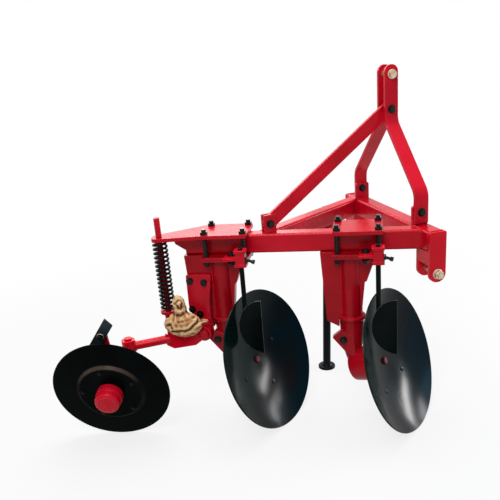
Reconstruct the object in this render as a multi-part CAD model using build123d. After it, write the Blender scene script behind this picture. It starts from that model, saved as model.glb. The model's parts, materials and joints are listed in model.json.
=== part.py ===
from build123d import *
import math
import os

os.makedirs("parts", exist_ok=True)

# All sizes are millimetres. X is forward, Y is left, Z is up and the ground is z = 0.
# On the slanted beam, s runs forward from the front leg and off is the distance to its right.

# main sizes
disc_dia = 660.0
disc_depth = 82.0
disc_thick = 6.0
unit_pitch = 600.0
beam_w = 76.0
beam_h = 90.0
beam_wall = 8.0
beam_corner = 12.0
beam_z = 855.0
beam_angle = 24.8
beam_rear = -735.0
cross_w = 77.0
cross_x = 287.0
hitch_y = 213.0
hitch_half = 456.0
brace_w = 70.0
brace_s = -380.0
brace_inset = 107.0
fit = 0.3
far = 3000.0

beam_top = beam_z + beam_h / 2
beam_low = beam_z - beam_h / 2
cross_mid = cross_x + cross_w / 2

# lower link clevises
clevis_t = 16.0
clevis_gap = 84.0
clevis_pin_z = beam_low - 98.0
clevis_web_t = 14.0
clevis_web_up = 40.0
link_pin_r = 14.0
link_pin_out = 30.0
link_pin_in = 18.0

# mast, its heights taken from its top and from the beam
mast_w = 64.0
mast_t = 14.0
mast_gap = 54.0
mast_bend = 60.0
mast_back = 6.5
mast_top_z = 1575.0
mast_pin_z = mast_top_z - 42.0
mast_bolt_z = mast_top_z - 194.0
mast_knee_up = mast_top_z - 253.0
mast_knee_low = beam_top + 140.0
mast_foot_z = beam_top + 8.0
mast_foot_bolt_z = beam_top + 58.0
mast_foot_half = hitch_half * 0.697
mast_lug_h = 85.0
mast_lug_half = 36.0
top_pin_r = 16.0
top_pin_out = 22.0
nut_t = 14.0
stay_t = 16.0
stay_w = 62.0
stay_foot_s = -338.0
stay_foot_up = 42.0
stay_lug_r = 29.0
stay_lug_t = 12.0

# legs
leg_s = 26.0
leg_off = 25.0
tube_r = 50.0
collar_r = 64.0
collar_z = 498.0
collar_t = 16.0
fin_t = 46.0
fin_out = 28.0
head_t = 20.0
head_rear = 22.0
head_half_w = 100.0
clamp_t = 17.0
clamp_over = 18.0
bolt_off = 76.0
bolt_half = 90.0
bolt_mid = 35.0
bolt_r = 11.0
nut_r = 17.5
stud_up = 12.0

# discs and their hubs
disc_yaw = 42.6
disc_tilt = 18.3
disc_s = 242.0
disc_off = 116.5
spigot_r = 16.5
spigot_up = 10.0
flange_r = 80.0
flange_t = 18.0
spindle_r = 20.0
spindle_len = 100.0
drum_gap = 6.0
drum_len = 124.0
drum_near_r = 94.0
drum_far_r = 76.0
drum_lip = 8.0
neck_top_r = 55.0
neck_mid_r = 51.0
neck_low_r = 28.0
lug_off = 56.0
lug_t = 24.0

# scrapers
scraper_s = 147.5
scraper_off = 140.0
scraper_rod_r = 11.0
scraper_block = 54.0
scraper_block_h = 76.0
scraper_block_z = beam_low + 13.0
scraper_lip = 12.0
tongue_t = 12.0
blade_t = 6.0
blade_bend = 220.0
blade_s = 226.0
blade_z = 491.0
blade_long = 110.0
blade_high = 130.0

# stand
stand_x = 41.0
stand_y = 409.0
stand_lean = 3.65
post_r = 21.0
foot_r = 46.0
foot_t = 14.0
foot_boss = 9.0
sleeve_r = 26.0
socket_r = 36.0
socket_low = beam_low - 120.0
boss_low = beam_low - 70.0

# rear furrow wheel
wheel_r = 274.0
wheel_x = -1128.0
wheel_y = 105.5
wheel_yaw = 18.7
wheel_camber = 13.1
pan_t = 6.0
pan_rise = 22.0
step_r = 146.0
hub_r = 62.0
hub_spigot_r = 46.0
hub_out = 74.0
hub_in = -34.0
hub_cap = 24.0
hub_round = 20.0
hub_taper = 6.0
axle_r = 20.0
axle_boss_r = 30.0
axle_in = 209.0
king_s = -1040.0
king_off = 170.0
king_z = wheel_r + 78.0
king_pin_r = 18.0
eye_r = 32.0
eye_h = 76.0
bar_w = 47.0
bar_len = 206.0
bar_t = 10.0
bar_turn = 35.5
bar_back = 60.0

# lever, spring and the bracket that carries them
bracket_t = 16.0
pivot_s = -671.0
pivot_z = 436.0
pivot_r = 14.0
pivot_boss_r = 36.0
lever_gap = 34.0
lever_t = 30.0
lever_top = 432.0
arm_r = 21.0
spring_s = -839.0
spring_off = 98.0
spring_r = 36.0
spring_wire = 11.0
spring_turns = 16
spring_low = 556.0
spring_rod_r = 14.0
spring_rod_up = 110.0
tail_half = 36.0

bodies = {}


def unit(v):
    k = math.sqrt(sum(a * a for a in v))
    return tuple(a / k for a in v)


def add(p, v, k=1.0):
    return tuple(a + b * k for a, b in zip(p, v))


def block(x, y, z):
    return Pos((x[0] + x[1]) / 2, (y[0] + y[1]) / 2, (z[0] + z[1]) / 2) * Box(
        x[1] - x[0], y[1] - y[0], z[1] - z[0])


def rod(p, q, r):
    d = tuple(b - a for a, b in zip(p, q))
    size = math.sqrt(sum(a * a for a in d))
    base = Plane(origin=p, z_dir=unit(d))
    return base * Cylinder(r, size, align=(Align.CENTER, Align.CENTER, Align.MIN))


def rounded(corners):
    # a flat face from corners (x, y) or (x, y, r), where r rounds that corner
    starts, ends, arcs = [], [], []
    count = len(corners)
    for k in range(count):
        here = corners[k][:2]
        r = corners[k][2] if len(corners[k]) > 2 else 0.0
        before = corners[k - 1][:2]
        after = corners[(k + 1) % count][:2]
        if r == 0.0:
            starts.append(here)
            ends.append(here)
            continue
        u = unit((before[0] - here[0], before[1] - here[1]))
        v = unit((after[0] - here[0], after[1] - here[1]))
        half = math.acos(u[0] * v[0] + u[1] * v[1]) / 2
        reach = r / math.tan(half)
        inward = unit((u[0] + v[0], u[1] + v[1]))
        middle = add(here, inward, r / math.sin(half) - r)
        starts.append(add(here, u, reach))
        ends.append(add(here, v, reach))
        arcs.append(ThreePointArc(starts[k], middle, ends[k]))
    lines = [Line(ends[k], starts[(k + 1) % count]) for k in range(count)]
    return make_face(lines + arcs)


def plate(corners, plane, t):
    return plane * extrude(rounded(corners), t)


def turned(corners):
    # a body turned on Z from corners (radius, height, rounding)
    return revolve(Plane.XZ * rounded(corners), Axis.Z, 360)


def nut(x, y, z):
    return Pos(x, y, z) * extrude(RegularPolygon(nut_r, 6), nut_t)


def keep(name, shape):
    bodies[name] = shape


turn = math.radians(beam_angle)
along = (math.cos(turn), -math.sin(turn), 0.0)
left = (math.sin(turn), math.cos(turn), 0.0)
right = tuple(-a for a in left)
beam_frame = Plane(origin=(0, 0, 0), x_dir=along, z_dir=(0, 0, 1))


def on_beam(s, off, z):
    return add(add((0, 0, z), along, s), right, off)


def upright(s, off):
    # a drawing plane that faces right: x along the beam, y up
    return Plane(origin=on_beam(s, off, 0), x_dir=along, z_dir=right)


def pole(s, off, low, high, r):
    return rod(on_beam(s, off, low), on_beam(s, off, high), r)


# frame: three rounded tubes that make a triangle
def tube(size, w):
    wall = 2 * beam_wall
    section = RectangleRounded(w, beam_h, beam_corner)
    section = section - RectangleRounded(w - wall, beam_h - wall, beam_corner - beam_wall / 2)
    return extrude(Plane.YZ * section, size)


cross_right = hitch_y - hitch_half + clevis_t
cross_left = hitch_y + hitch_half - clevis_t
ahead = block((cross_x, cross_x + far), (-far, far), (0, far))
cross = Pos(cross_mid, cross_right, beam_z) * Rot(0, 0, 90) * tube(cross_left - cross_right, cross_w)

main_len = 2 * cross_x - beam_rear
end_cap = extrude(Plane.YZ * RectangleRounded(beam_w, beam_h, beam_corner), beam_wall)
main = beam_frame * Pos(beam_rear, 0, beam_z) * (tube(main_len, beam_w) + end_cap) - ahead

brace_a = on_beam(brace_s, 0, beam_z)
brace_b = (cross_x, hitch_y + hitch_half - brace_inset, beam_z)
brace_dir = unit(tuple(b - a for a, b in zip(brace_a, brace_b)))
brace_frame = Plane(origin=brace_a, x_dir=brace_dir, z_dir=(0, 0, 1))
brace = brace_frame * tube(math.dist(brace_a, brace_b) + 2 * brace_w, brace_w)
beam_room = beam_frame * block((-far, far), (-far, beam_w / 2), (0, far))
lean_out = math.tan(math.radians(stand_lean))
stand_foot = (stand_x, stand_y, 0.0)
stand_axis = unit((brace_dir[0] * lean_out, brace_dir[1] * lean_out, 1.0))


def along_stand(low, high, r):
    # a round body on the stand's leaning axis, between two heights
    return rod(*(add(stand_foot, stand_axis, z / stand_axis[2]) for z in (low, high)), r)


brace = brace - beam_room - ahead - along_stand(socket_low, far, sleeve_r + fit)

keep("main_beam", main)
keep("cross_beam", cross)
keep("brace_beam", brace)

# lower link clevises on both ends of the cross beam, and their pins
cheek_r = cross_w / 2
for side, sign in (("right", -1), ("left", 1)):
    outer = hitch_y + sign * hitch_half
    inner = outer - sign * (clevis_t + clevis_gap)
    face = Plane(origin=(0, outer, 0), x_dir=(1, 0, 0), z_dir=(0, -1, 0))
    inner_face = Plane(origin=(0, inner, 0), x_dir=(1, 0, 0), z_dir=(0, -1, 0))
    foot_z = clevis_pin_z - cheek_r
    x_far = cross_x + cross_w
    round_foot = [(x_far, foot_z, cheek_r - 1), (cross_x, foot_z, cheek_r - 1)]
    cheek_out = plate([(cross_x, beam_top, 6), (x_far, beam_top, 6)] + round_foot, face, sign * clevis_t)
    cheek_in = plate([(cross_x, beam_low), (x_far, beam_low)] + round_foot, inner_face, sign * clevis_t)
    y_gap = sorted((outer - sign * clevis_t, inner))
    web = block((cross_x, cross_x + clevis_web_t), y_gap, (clevis_pin_z + clevis_web_up, beam_low))
    pin_a = (cross_mid, outer + sign * link_pin_out, clevis_pin_z)
    pin_b = (cross_mid, inner - sign * (clevis_t + link_pin_in), clevis_pin_z)
    keep("hitch_clevis_" + side, cheek_out + cheek_in + web - rod(pin_a, pin_b, link_pin_r + fit))
    keep("lower_link_pin_" + side, rod(pin_a, pin_b, link_pin_r))

# mast: two flat bars with smooth bends, lugs at their feet, a pin and a bolt at the top
mast_x = cross_mid - mast_back
half_up = mast_gap / 2
foot = mast_foot_half - mast_t / 2
slope = math.atan2(foot - half_up, mast_knee_up - mast_knee_low)
turn_in = mast_t * math.tan(slope / 2)
big_bend = mast_bend + mast_t
pin_half = half_up + mast_t
mast_plane = Plane(origin=(mast_x - mast_w / 2, 0, 0), x_dir=(0, 1, 0), z_dir=(1, 0, 0))
for side, sign in (("right", -1), ("left", 1)):
    outline = [
        (foot, mast_foot_z), (foot + mast_t, mast_foot_z),
        (foot + mast_t, mast_knee_low + turn_in, big_bend), (pin_half, mast_knee_up + turn_in, mast_bend),
        (pin_half, mast_top_z), (half_up, mast_top_z),
        (half_up, mast_knee_up, big_bend), (foot, mast_knee_low, mast_bend)]
    outline = [(hitch_y + sign * row[0],) + row[1:] for row in outline]
    leg = plate(outline, mast_plane, mast_w)
    cap = Pos(mast_x, hitch_y, mast_top_z - mast_w / 2) * Rot(90, 0, 0) * Cylinder(mast_w / 2, far)
    upper = block((0, far), (-far, far), (mast_top_z - mast_w / 2, far))
    leg = leg - (upper - cap)
    for z, r in ((mast_pin_z, top_pin_r), (mast_bolt_z, bolt_r)):
        leg = leg - Pos(mast_x, hitch_y, z) * Rot(90, 0, 0) * Cylinder(r + fit, 4 * pin_half)
    bolt_a = (mast_x, hitch_y + sign * (foot + mast_t + nut_t), mast_foot_bolt_z)
    bolt_b = (mast_x, hitch_y + sign * (foot - mast_t - nut_t), mast_foot_bolt_z)
    bolt_hole = rod(bolt_a, bolt_b, bolt_r + fit)
    keep("mast_leg_" + side, leg - bolt_hole)
    lug_face = Plane(origin=(mast_x, hitch_y + sign * foot, 0), x_dir=(1, 0, 0), z_dir=(0, -1, 0))
    lug_top = beam_top + mast_lug_h
    lug = plate([(-mast_lug_half, beam_top), (-mast_lug_half, lug_top, 10),
                 (mast_lug_half, lug_top, 10), (mast_lug_half, beam_top)], lug_face, sign * mast_t)
    keep("mast_lug_" + side, lug - bolt_hole)
    keep("mast_foot_bolt_" + side, rod(bolt_a, bolt_b, bolt_r))

for name, z, r, out in (("top_link_pin", mast_pin_z, top_pin_r, top_pin_out),
                        ("mast_bolt", mast_bolt_z, bolt_r, nut_t)):
    keep(name, rod((mast_x, hitch_y - pin_half - out, z), (mast_x, hitch_y + pin_half + out, z), r))

# stay: a flat bar from the mast bolt down to a pair of lugs on the beam
stay_foot = on_beam(stay_foot_s, 0, beam_top + stay_foot_up)
stay_head = (mast_x, hitch_y, mast_bolt_z)
stay_dir = unit(tuple(b - a for a, b in zip(stay_foot, stay_head)))
stay_len = math.dist(stay_foot, stay_head)
level = unit((-stay_dir[1], stay_dir[0], 0.0))
stay_frame = Plane(origin=stay_foot, x_dir=stay_dir, z_dir=level)
stay = stay_frame * Pos(stay_len / 2, 0, 0) * extrude(
    SlotCenterToCenter(stay_len, stay_w), stay_t / 2, both=True)
stay = stay - Pos(*stay_head) * Rot(90, 0, 0) * Cylinder(bolt_r + fit, 4 * pin_half)
stay = stay - stay_frame * Cylinder(bolt_r + fit, 4 * stay_t)
keep("mast_stay", stay)
lug_frame = Plane(origin=stay_foot, x_dir=(level[1], -level[0], 0.0), z_dir=level)
lug_face = Circle(stay_lug_r) + Pos(0, -stay_foot_up / 2) * Rectangle(2 * stay_lug_r, stay_foot_up)
lug_face = lug_face - Circle(bolt_r + fit)
lugs = [Pos(0, 0, stay_t / 2) * extrude(lug_face, stay_lug_t),
        Pos(0, 0, -stay_t / 2) * extrude(lug_face, -stay_lug_t)]
keep("stay_lug", lug_frame * Compound(children=lugs))
keep("stay_bolt", lug_frame * Cylinder(bolt_r, stay_t + 2 * stay_lug_t + 2 * nut_t))

# the pivot of the furrow wheel's lever, on the right face of the rear leg's fin
fin_face = leg_off + fin_out
pivot = on_beam(pivot_s, fin_face, pivot_z)
pivot_room = rod(add(pivot, right, -lever_gap), add(pivot, right, 4 * lever_gap), pivot_boss_r + 4)

# plough units: the discs lean and turn, and both units are alike
lean = math.radians(disc_tilt)
disc_turn = math.radians(disc_yaw)
n_disc = (math.sin(disc_turn) * math.cos(lean), -math.cos(disc_turn) * math.cos(lean), math.sin(lean))


def ball_size(radius):
    return (radius ** 2 + disc_depth ** 2) / (2 * disc_depth)


outer_ball = ball_size(disc_dia / 2)
inner_edge = disc_dia / 2 * outer_ball / (outer_ball + disc_thick)
ball = ball_size(inner_edge)
ball_up = ball - disc_depth
lip = disc_thick * (outer_ball - disc_depth) / outer_ball
disc_z = disc_dia / 2 * math.cos(lean) + lip * math.sin(lean)


def on_ball(radius, reach):
    # a point of a ball at a distance from the disc's axis
    return (reach, 0, ball_up - math.sqrt(radius ** 2 - reach ** 2))


def dish():
    hole = spigot_r + fit
    back = ball + disc_thick
    edge = disc_dia / 2
    face = make_face([
        ThreePointArc(on_ball(ball, hole), on_ball(ball, inner_edge / 2), on_ball(ball, inner_edge)),
        Line(on_ball(ball, inner_edge), on_ball(back, edge)),
        ThreePointArc(on_ball(back, edge), on_ball(back, edge / 2), on_ball(back, hole)),
        Line(on_ball(back, hole), on_ball(ball, hole))])
    return revolve(face, Axis.Z, 360)


seat = ball + disc_thick + fit
flange_back = on_ball(seat, 0)[2] - flange_t
drum_front = flange_back - drum_gap
drum_back = drum_front - drum_len


def disc_hub():
    top = -disc_depth + spigot_up
    start, end = on_ball(seat, spigot_r), on_ball(seat, flange_r)
    steps = [(flange_r, flange_back), (2 * spindle_r, flange_back), (2 * spindle_r, drum_front + 2),
             (spindle_r, drum_front + 2), (spindle_r, drum_front - spindle_len), (0, drum_front - spindle_len),
             (0, top), (spigot_r - 3, top), (spigot_r, top - 3)]
    steps = [(r, 0, z) for r, z in steps]
    face = make_face([ThreePointArc(start, on_ball(seat, (spigot_r + flange_r) / 2), end),
                      Polyline(end, *steps, start)])
    return revolve(face, Axis.Z, 360)


def drum():
    rim = drum_front - 16
    return turned([
        (0, drum_front), (drum_near_r, drum_front, 4), (drum_near_r, rim, 4), (drum_near_r - drum_lip, rim, 3),
        (drum_far_r, drum_back, 14), (drum_far_r / 2, drum_back), (drum_far_r / 2, drum_back - drum_lip, 3),
        (0, drum_back - drum_lip)])


def hub_arm(ds, disc_frame):
    # one casting: neck under the collar, bolted lug on its side, bearing drum
    top_z = collar_z - collar_t
    low_z = disc_z - 40
    mid_z = (top_z + low_z) / 2
    wall = [ThreePointArc((neck_top_r, 0, top_z), (neck_mid_r, 0, mid_z), (neck_low_r, 0, low_z)),
            Polyline((neck_low_r, 0, low_z), (0, 0, low_z - 40), (0, 0, top_z), (neck_top_r, 0, top_z))]
    neck = Pos(*on_beam(leg_s + ds, leg_off, 0)) * revolve(make_face(wall), Axis.Z, 360)
    lug = plate([(-64, 404, 6), (-23, 439, 6), (34, 408), (44, 300), (5, 318, 6)], upright(ds, lug_off), lug_t)
    casting = neck + lug + disc_frame * drum()
    bore = Pos(0, 0, drum_front - spindle_len / 2) * Cylinder(spindle_r + fit, spindle_len + 8)
    return casting - disc_frame * bore - pivot_room


def leg_solid(ds, fin_s):
    fin_plane = upright(ds, leg_off + fin_out)
    neck_side = leg_s - neck_top_r - 2
    fin = plate([(fin_s, beam_low), (leg_s, beam_low), (leg_s, collar_z), (neck_side, collar_z),
                 (neck_side, collar_z - 50), (fin_s + 20, collar_z - 20, 5)], fin_plane, -fin_t)
    gusset = plate([(leg_s, beam_low), (131, beam_low), (131, 768), (97, 670), (89, 670, 6),
                    (71, collar_z), (leg_s, collar_z)], fin_plane, -fin_t)
    s0 = leg_s + bolt_mid - bolt_half - head_rear
    s1 = leg_s + bolt_mid + bolt_half + head_rear
    w = head_half_w
    head = beam_frame * Pos(ds, 0, beam_low - head_t) * extrude(
        rounded([(s0, -w, 8), (s1, -w, 8), (s1, w, 8), (s0, w, 8)]), head_t)
    pipe = pole(leg_s + ds, leg_off, collar_z, beam_low - 2, tube_r)
    collar = pole(leg_s + ds, leg_off, collar_z - collar_t, collar_z, collar_r)
    collar = chamfer(collar.edges().filter_by(GeomType.CIRCLE), 3)
    return pipe + collar + fin + gusset + head


def top_plate(ds, drawn_out):
    mid = ds + leg_s + bolt_mid
    half = bolt_half + clamp_over
    w = head_half_w
    if not drawn_out:
        outline = [(mid + half, -w, 6), (mid + half, w, 6), (mid - half, w, 6), (mid - half, -w, 6)]
        return beam_frame * Pos(0, 0, beam_top) * extrude(rounded(outline), clamp_t)
    tip = spring_s - tail_half
    outline = [(mid + half, -w, 6), (mid + half, w, 6), (mid - half, w), (tip, tail_half - spring_off, 30),
               (tip, -tail_half - spring_off, 30), (mid - half, -w)]
    rib = plate([(beam_rear, beam_top), (beam_rear - 56, beam_top), (beam_rear - 50, beam_top - 34, 16),
                 (beam_rear, beam_top - 66)], upright(0, beam_w / 2), -stay_lug_t)
    top = beam_frame * Pos(0, 0, beam_top) * extrude(rounded(outline), clamp_t) + rib
    return top - pole(spring_s, spring_off, beam_low, far, spring_rod_r + 1.5)


def scraper_bracket(ds):
    half = scraper_block / 2
    at_s = scraper_s + ds
    low = scraper_block_z - scraper_block_h / 2
    high = scraper_block_z + scraper_block_h / 2
    core = beam_frame * Pos(at_s, -scraper_off, low) * extrude(
        RectangleRounded(scraper_block - 10, scraper_block - 10, 4), scraper_block_h)
    for z in (low, high - scraper_lip):
        core = core + beam_frame * Pos(at_s, -scraper_off, z) * extrude(
            RectangleRounded(scraper_block, scraper_block, 6), scraper_lip)
    tongue = beam_frame * block((at_s - 3 * half, at_s), (-scraper_off - half / 2, -head_half_w + head_rear),
                                (beam_low, beam_low + tongue_t))
    stud_room = pole(leg_s + bolt_mid + bolt_half + ds, bolt_off, 0, far, nut_r + 2)
    hole = pole(at_s, scraper_off, low - 1, high + 1, scraper_rod_r + fit)
    return core + tongue - stud_room - hole


def scraper(ds):
    # a curved blade with a straight rear edge, on a round rod
    face_off = scraper_off + scraper_rod_r - 3
    half_round = Pos(blade_s, blade_z) * (
        Ellipse(blade_long, blade_high) - Pos(blade_long, 0) * Rectangle(2 * blade_long, 2 * blade_high))
    block_out = upright(ds, face_off - blade_bend) * extrude(half_round, 2 * blade_bend)
    bend_mid = (blade_s - blade_long / 2 + ds, face_off + blade_bend)
    shell = pole(*bend_mid, 0, far, blade_bend) - pole(*bend_mid, -1, far + 1, blade_bend - blade_t)
    near_half = beam_frame * block((-far, far), (-face_off - blade_bend, 0), (0, far))
    blade = block_out & shell & near_half
    rod_top = scraper_block_z + scraper_block_h / 2 + 10
    return blade + pole(scraper_s + ds, scraper_off, blade_z, rod_top, scraper_rod_r)


for name, ds, fin_s in (("front", 0.0, -107.0), ("rear", -unit_pitch, -144.0)):
    rear = name == "rear"
    centre = on_beam(disc_s + ds, disc_off, disc_z)
    disc_frame = Plane(origin=centre, x_dir=unit((n_disc[1], -n_disc[0], 0)), z_dir=n_disc)
    keep(name + "_disc", disc_frame * dish())
    keep(name + "_disc_hub", disc_frame * disc_hub())
    keep(name + "_hub_arm", hub_arm(ds, disc_frame))

    # four clamp studs through the leg's head and the top plate
    leg = leg_solid(ds, fin_s)
    top = top_plate(ds, rear)
    studs = []
    for s in (bolt_mid - bolt_half, bolt_mid + bolt_half):
        for off in (-bolt_off, bolt_off):
            x, y, _ = on_beam(s + ds + leg_s, off, 0)
            hole = rod((x, y, 0), (x, y, far), bolt_r + fit)
            leg = leg - hole
            top = top - hole
            low = beam_low - head_t - nut_t
            high = beam_top + clamp_t
            stud = rod((x, y, low - stud_up), (x, y, high + nut_t + stud_up), bolt_r)
            studs.append(stud + nut(x, y, low) + nut(x, y, high))
    keep(name + "_leg", leg)
    keep(name + "_clamp_bolts", Compound(children=studs))
    keep("tail_plate" if rear else "clamp_plate", top)
    keep(name + "_scraper_bracket", scraper_bracket(ds))
    keep(name + "_scraper", scraper(ds))

# stand: a sleeve through the brace with a boss under it, and a post with a round foot
under_top = block((-far, far), (-far, far), (0, beam_top))
under_brace = block((-far, far), (-far, far), (0, beam_low))
sleeve = along_stand(socket_low, far, sleeve_r) & under_top
sleeve = sleeve + (along_stand(boss_low, far, socket_r) & under_brace)
keep("stand_socket", sleeve - along_stand(0, far, post_r + fit))
foot_top = foot_t + foot_boss
stand = Pos(*stand_foot) * turned([
    (0, 0), (foot_r, 0), (foot_r, foot_t, 5), (post_r + foot_boss, foot_t, 4),
    (post_r + 4, foot_top, 3), (0, foot_top)])
keep("stand_leg", stand + along_stand(foot_t / 2, beam_top - 2, post_r))

# furrow wheel bracket on the rear leg, with a rib on its front edge
bracket = plate([(-742, 720, 8), (-613, 720, 8), (-633, 600, 40), (-636, pivot_z), (-706, pivot_z),
                 (-744, 560, 30)], upright(0, fin_face), bracket_t)
rib = plate([(-637, 690), (-621, 690), (-635, 590), (-637, 500), (-652, 500), (-651, 590)],
            upright(0, fin_face), 2 * bracket_t)
boss = rod(pivot, add(pivot, right, lever_gap - 2), pivot_boss_r)
collar_room = pole(leg_s - unit_pitch, leg_off, 0, far, collar_r + 1)
pin_hole = rod(add(pivot, right, -lever_gap), add(pivot, right, 4 * lever_gap), pivot_r + fit)
keep("wheel_bracket", bracket + rib + boss - collar_room - pin_hole)
keep("pivot_pin", rod(pivot, add(pivot, right, lever_gap + lever_t + nut_t), pivot_r))

# lever: plate with an eye on the pivot, round arm, eye of the king pin
lever_off = fin_face + lever_gap
king = on_beam(king_s, king_off, 0)
lever = plate([(-862, lever_top, 6), (-866, 376, 10), (-828, 357, 12), (-716, 377, 12),
               (pivot_s - 10, pivot_z - 32), (pivot_s, pivot_z + 34), (-728, 480, 20),
               (-790, lever_top, 16)], upright(0, lever_off), lever_t)
eye = rod(on_beam(pivot_s, lever_off, pivot_z), on_beam(pivot_s, lever_off + lever_t, pivot_z), pivot_boss_r)
arm = rod(on_beam(-850, lever_off + lever_t / 2, 403), (king[0], king[1], king_z + eye_h / 2), arm_r)
king_eye = rod((king[0], king[1], king_z), (king[0], king[1], king_z + eye_h), eye_r)
king_hole = rod((king[0], king[1], 0), (king[0], king[1], far), king_pin_r + fit)
keep("wheel_lever", lever + eye + arm + king_eye - king_hole - pin_hole)

# spring rod with its seat, and the coil between seat and tail plate
seat_t = 14.0
seat_z = spring_low - seat_t
keep("spring_rod", pole(spring_s, spring_off, lever_top, beam_top + spring_rod_up, spring_rod_r)
     + pole(spring_s, spring_off, lever_top, seat_z, spring_rod_r + 6)
     + pole(spring_s, spring_off, seat_z, spring_low, spring_r + 2))
pitch = (beam_top - spring_low - spring_wire - 1) / spring_turns
path = Helix(pitch, pitch * spring_turns, spring_r - spring_wire / 2)
coil = sweep(Plane(origin=path @ 0, z_dir=path % 0) * Circle(spring_wire / 2), path=path)
keep("spring", Pos(*on_beam(spring_s, spring_off, spring_low + spring_wire / 2 + 0.5)) * coil)

# wheel: dished pan on a round hub, leaning and turned
yaw = math.radians(wheel_yaw)
camber = math.radians(wheel_camber)
wheel_n = (-math.sin(yaw) * math.cos(camber), -math.cos(yaw) * math.cos(camber), -math.sin(camber))
wheel_c = (wheel_x, wheel_y, wheel_r * math.cos(camber))
w_in = tuple(-a for a in wheel_n)
wheel_frame = Plane(origin=wheel_c, x_dir=unit((w_in[1], -w_in[0], 0)), z_dir=wheel_n)
step_low = pan_rise / 4
pan = turned([
    (hub_spigot_r, pan_rise), (step_r, pan_rise, 9), (step_r + 14, step_low, 6), (wheel_r, 0),
    (wheel_r, -pan_t), (step_r + 11, step_low - pan_t, 9), (step_r - 3, pan_rise - pan_t, 6),
    (hub_spigot_r, pan_rise - pan_t)])
keep("furrow_wheel", wheel_frame * pan)
bore_r = axle_r + fit
bore_end = hub_out - hub_cap
hub = turned([
    (bore_r, hub_in), (hub_spigot_r - fit, hub_in, 3), (hub_spigot_r - fit, pan_rise), (hub_r, pan_rise),
    (hub_r - hub_taper, hub_out, hub_round), (0, hub_out), (0, bore_end), (bore_r, bore_end)])
keep("wheel_hub", wheel_frame * hub)

# carrier: axle, knuckle on the king pin and the arm of the wheel scraper
axle_end = add(wheel_c, w_in, axle_in)
knuckle = (king[0], king[1], axle_end[2])
carrier = rod(axle_end, add(wheel_c, w_in, 4 - bore_end), axle_r)
carrier = carrier + rod(axle_end, add(wheel_c, w_in, 60), axle_boss_r)
carrier = carrier + rod(axle_end, knuckle, axle_boss_r - 2) + Pos(*axle_end) * Sphere(axle_boss_r)
carrier = carrier + rod((king[0], king[1], axle_end[2] - eye_r), (king[0], king[1], king_z - 1), eye_r)
carrier = carrier + rod(knuckle, (king[0], king[1], king_z + eye_h + 10), king_pin_r)
arm_t = 12.0
bar_top = (48.6, wheel_r + 75.2)
arm_top = wheel_r + 16
arm_low = -bar_back - bar_t / 2 - arm_t
scraper_arm = wheel_frame * Pos(0, 0, arm_low) * extrude(
    rounded([(-23, -20), (23, -20), (23, arm_top, 14), (-23, arm_top, 14)]), arm_t)
keep("wheel_carrier", carrier + scraper_arm)
half_bar = bar_w / 2
bar = Pos(*bar_top, -bar_back - bar_t / 2) * Rot(0, 0, -bar_turn) * extrude(
    rounded([(-half_bar, 8, 3), (half_bar, -8, 3), (half_bar, -bar_len, 3), (-half_bar, -bar_len, 3)]), bar_t)
keep("wheel_scraper", wheel_frame * bar)

# soft bundle tied on the lever at the spring's foot
wrap_off = lever_off + lever_t
lobes = []
for s, z, reach, long, deep, high in ((-760, 499, 24, 94, 37, 65), (-770, 596, 18, 34, 25, 48)):
    lobe = scale(Sphere(1), by=(long, deep, high))
    lobes.append(beam_frame * Pos(s, -wrap_off - reach, z) * lobe)
wrap = lobes[0] + lobes[1]
wrap = wrap & (beam_frame * block((-far, far), (-far, -wrap_off), (0, far)))
keep("pivot_wrap", wrap - pole(spring_s, spring_off, 0, far, spring_r + 4))

# move to the middle of the plan box, on the ground
corners = [shape.bounding_box() for shape in bodies.values()]
low = [min(getattr(c.min, k) for c in corners) for k in "XYZ"]
high = [max(getattr(c.max, k) for c in corners) for k in "XYZ"]
shift = (-(low[0] + high[0]) / 2, -(low[1] + high[1]) / 2, -low[2])
print("size", [round(b - a, 1) for a, b in zip(low, high)], "shift", [round(a, 3) for a in shift])

for name, shape in bodies.items():
    moved = Pos(*shift) * shape
    export_step(moved, "parts/" + name + ".step")
    print(name, round(moved.volume / 1000, 1), len(moved.solids()))
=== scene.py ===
import bpy
import bmesh
import json
import math
from mathutils import Matrix, Vector, noise


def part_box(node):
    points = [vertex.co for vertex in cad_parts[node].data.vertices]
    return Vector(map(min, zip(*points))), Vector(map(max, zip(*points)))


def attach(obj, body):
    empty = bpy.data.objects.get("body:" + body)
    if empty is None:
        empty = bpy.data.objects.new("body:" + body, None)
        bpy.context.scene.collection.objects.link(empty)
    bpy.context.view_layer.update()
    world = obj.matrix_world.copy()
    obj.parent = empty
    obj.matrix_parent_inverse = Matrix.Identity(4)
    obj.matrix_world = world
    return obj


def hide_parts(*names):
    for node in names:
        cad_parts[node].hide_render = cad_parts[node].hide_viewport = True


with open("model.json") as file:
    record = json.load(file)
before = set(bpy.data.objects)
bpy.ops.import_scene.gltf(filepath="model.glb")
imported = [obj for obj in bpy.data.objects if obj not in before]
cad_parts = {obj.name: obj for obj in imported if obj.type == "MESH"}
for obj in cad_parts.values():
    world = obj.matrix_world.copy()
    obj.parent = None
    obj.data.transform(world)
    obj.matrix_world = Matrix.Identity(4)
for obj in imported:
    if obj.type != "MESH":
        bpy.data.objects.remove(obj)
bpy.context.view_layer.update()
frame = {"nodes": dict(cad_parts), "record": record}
nodes = frame["nodes"]
print("frame loaded:", len(nodes), "nodes")


# places on the plough, in the part's own millimetres
partSet = {
    "crossMid": (325.5, 213.0),
    "standFoot": (41.0, 409.0),
    "standLean": (0.0538, 0.0343),
    "beamAngle": 24.8,
    "beamTop": 900.0,
    "unitPitch": 600.0,
    "discMid": (242.0, 116.5, 315.1),
}
units = (0, -partSet["unitPitch"])  # front and rear plough unit, along the beam


def middle(node):
    low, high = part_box(node)
    return (Vector(low) + Vector(high)) / 2


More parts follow.
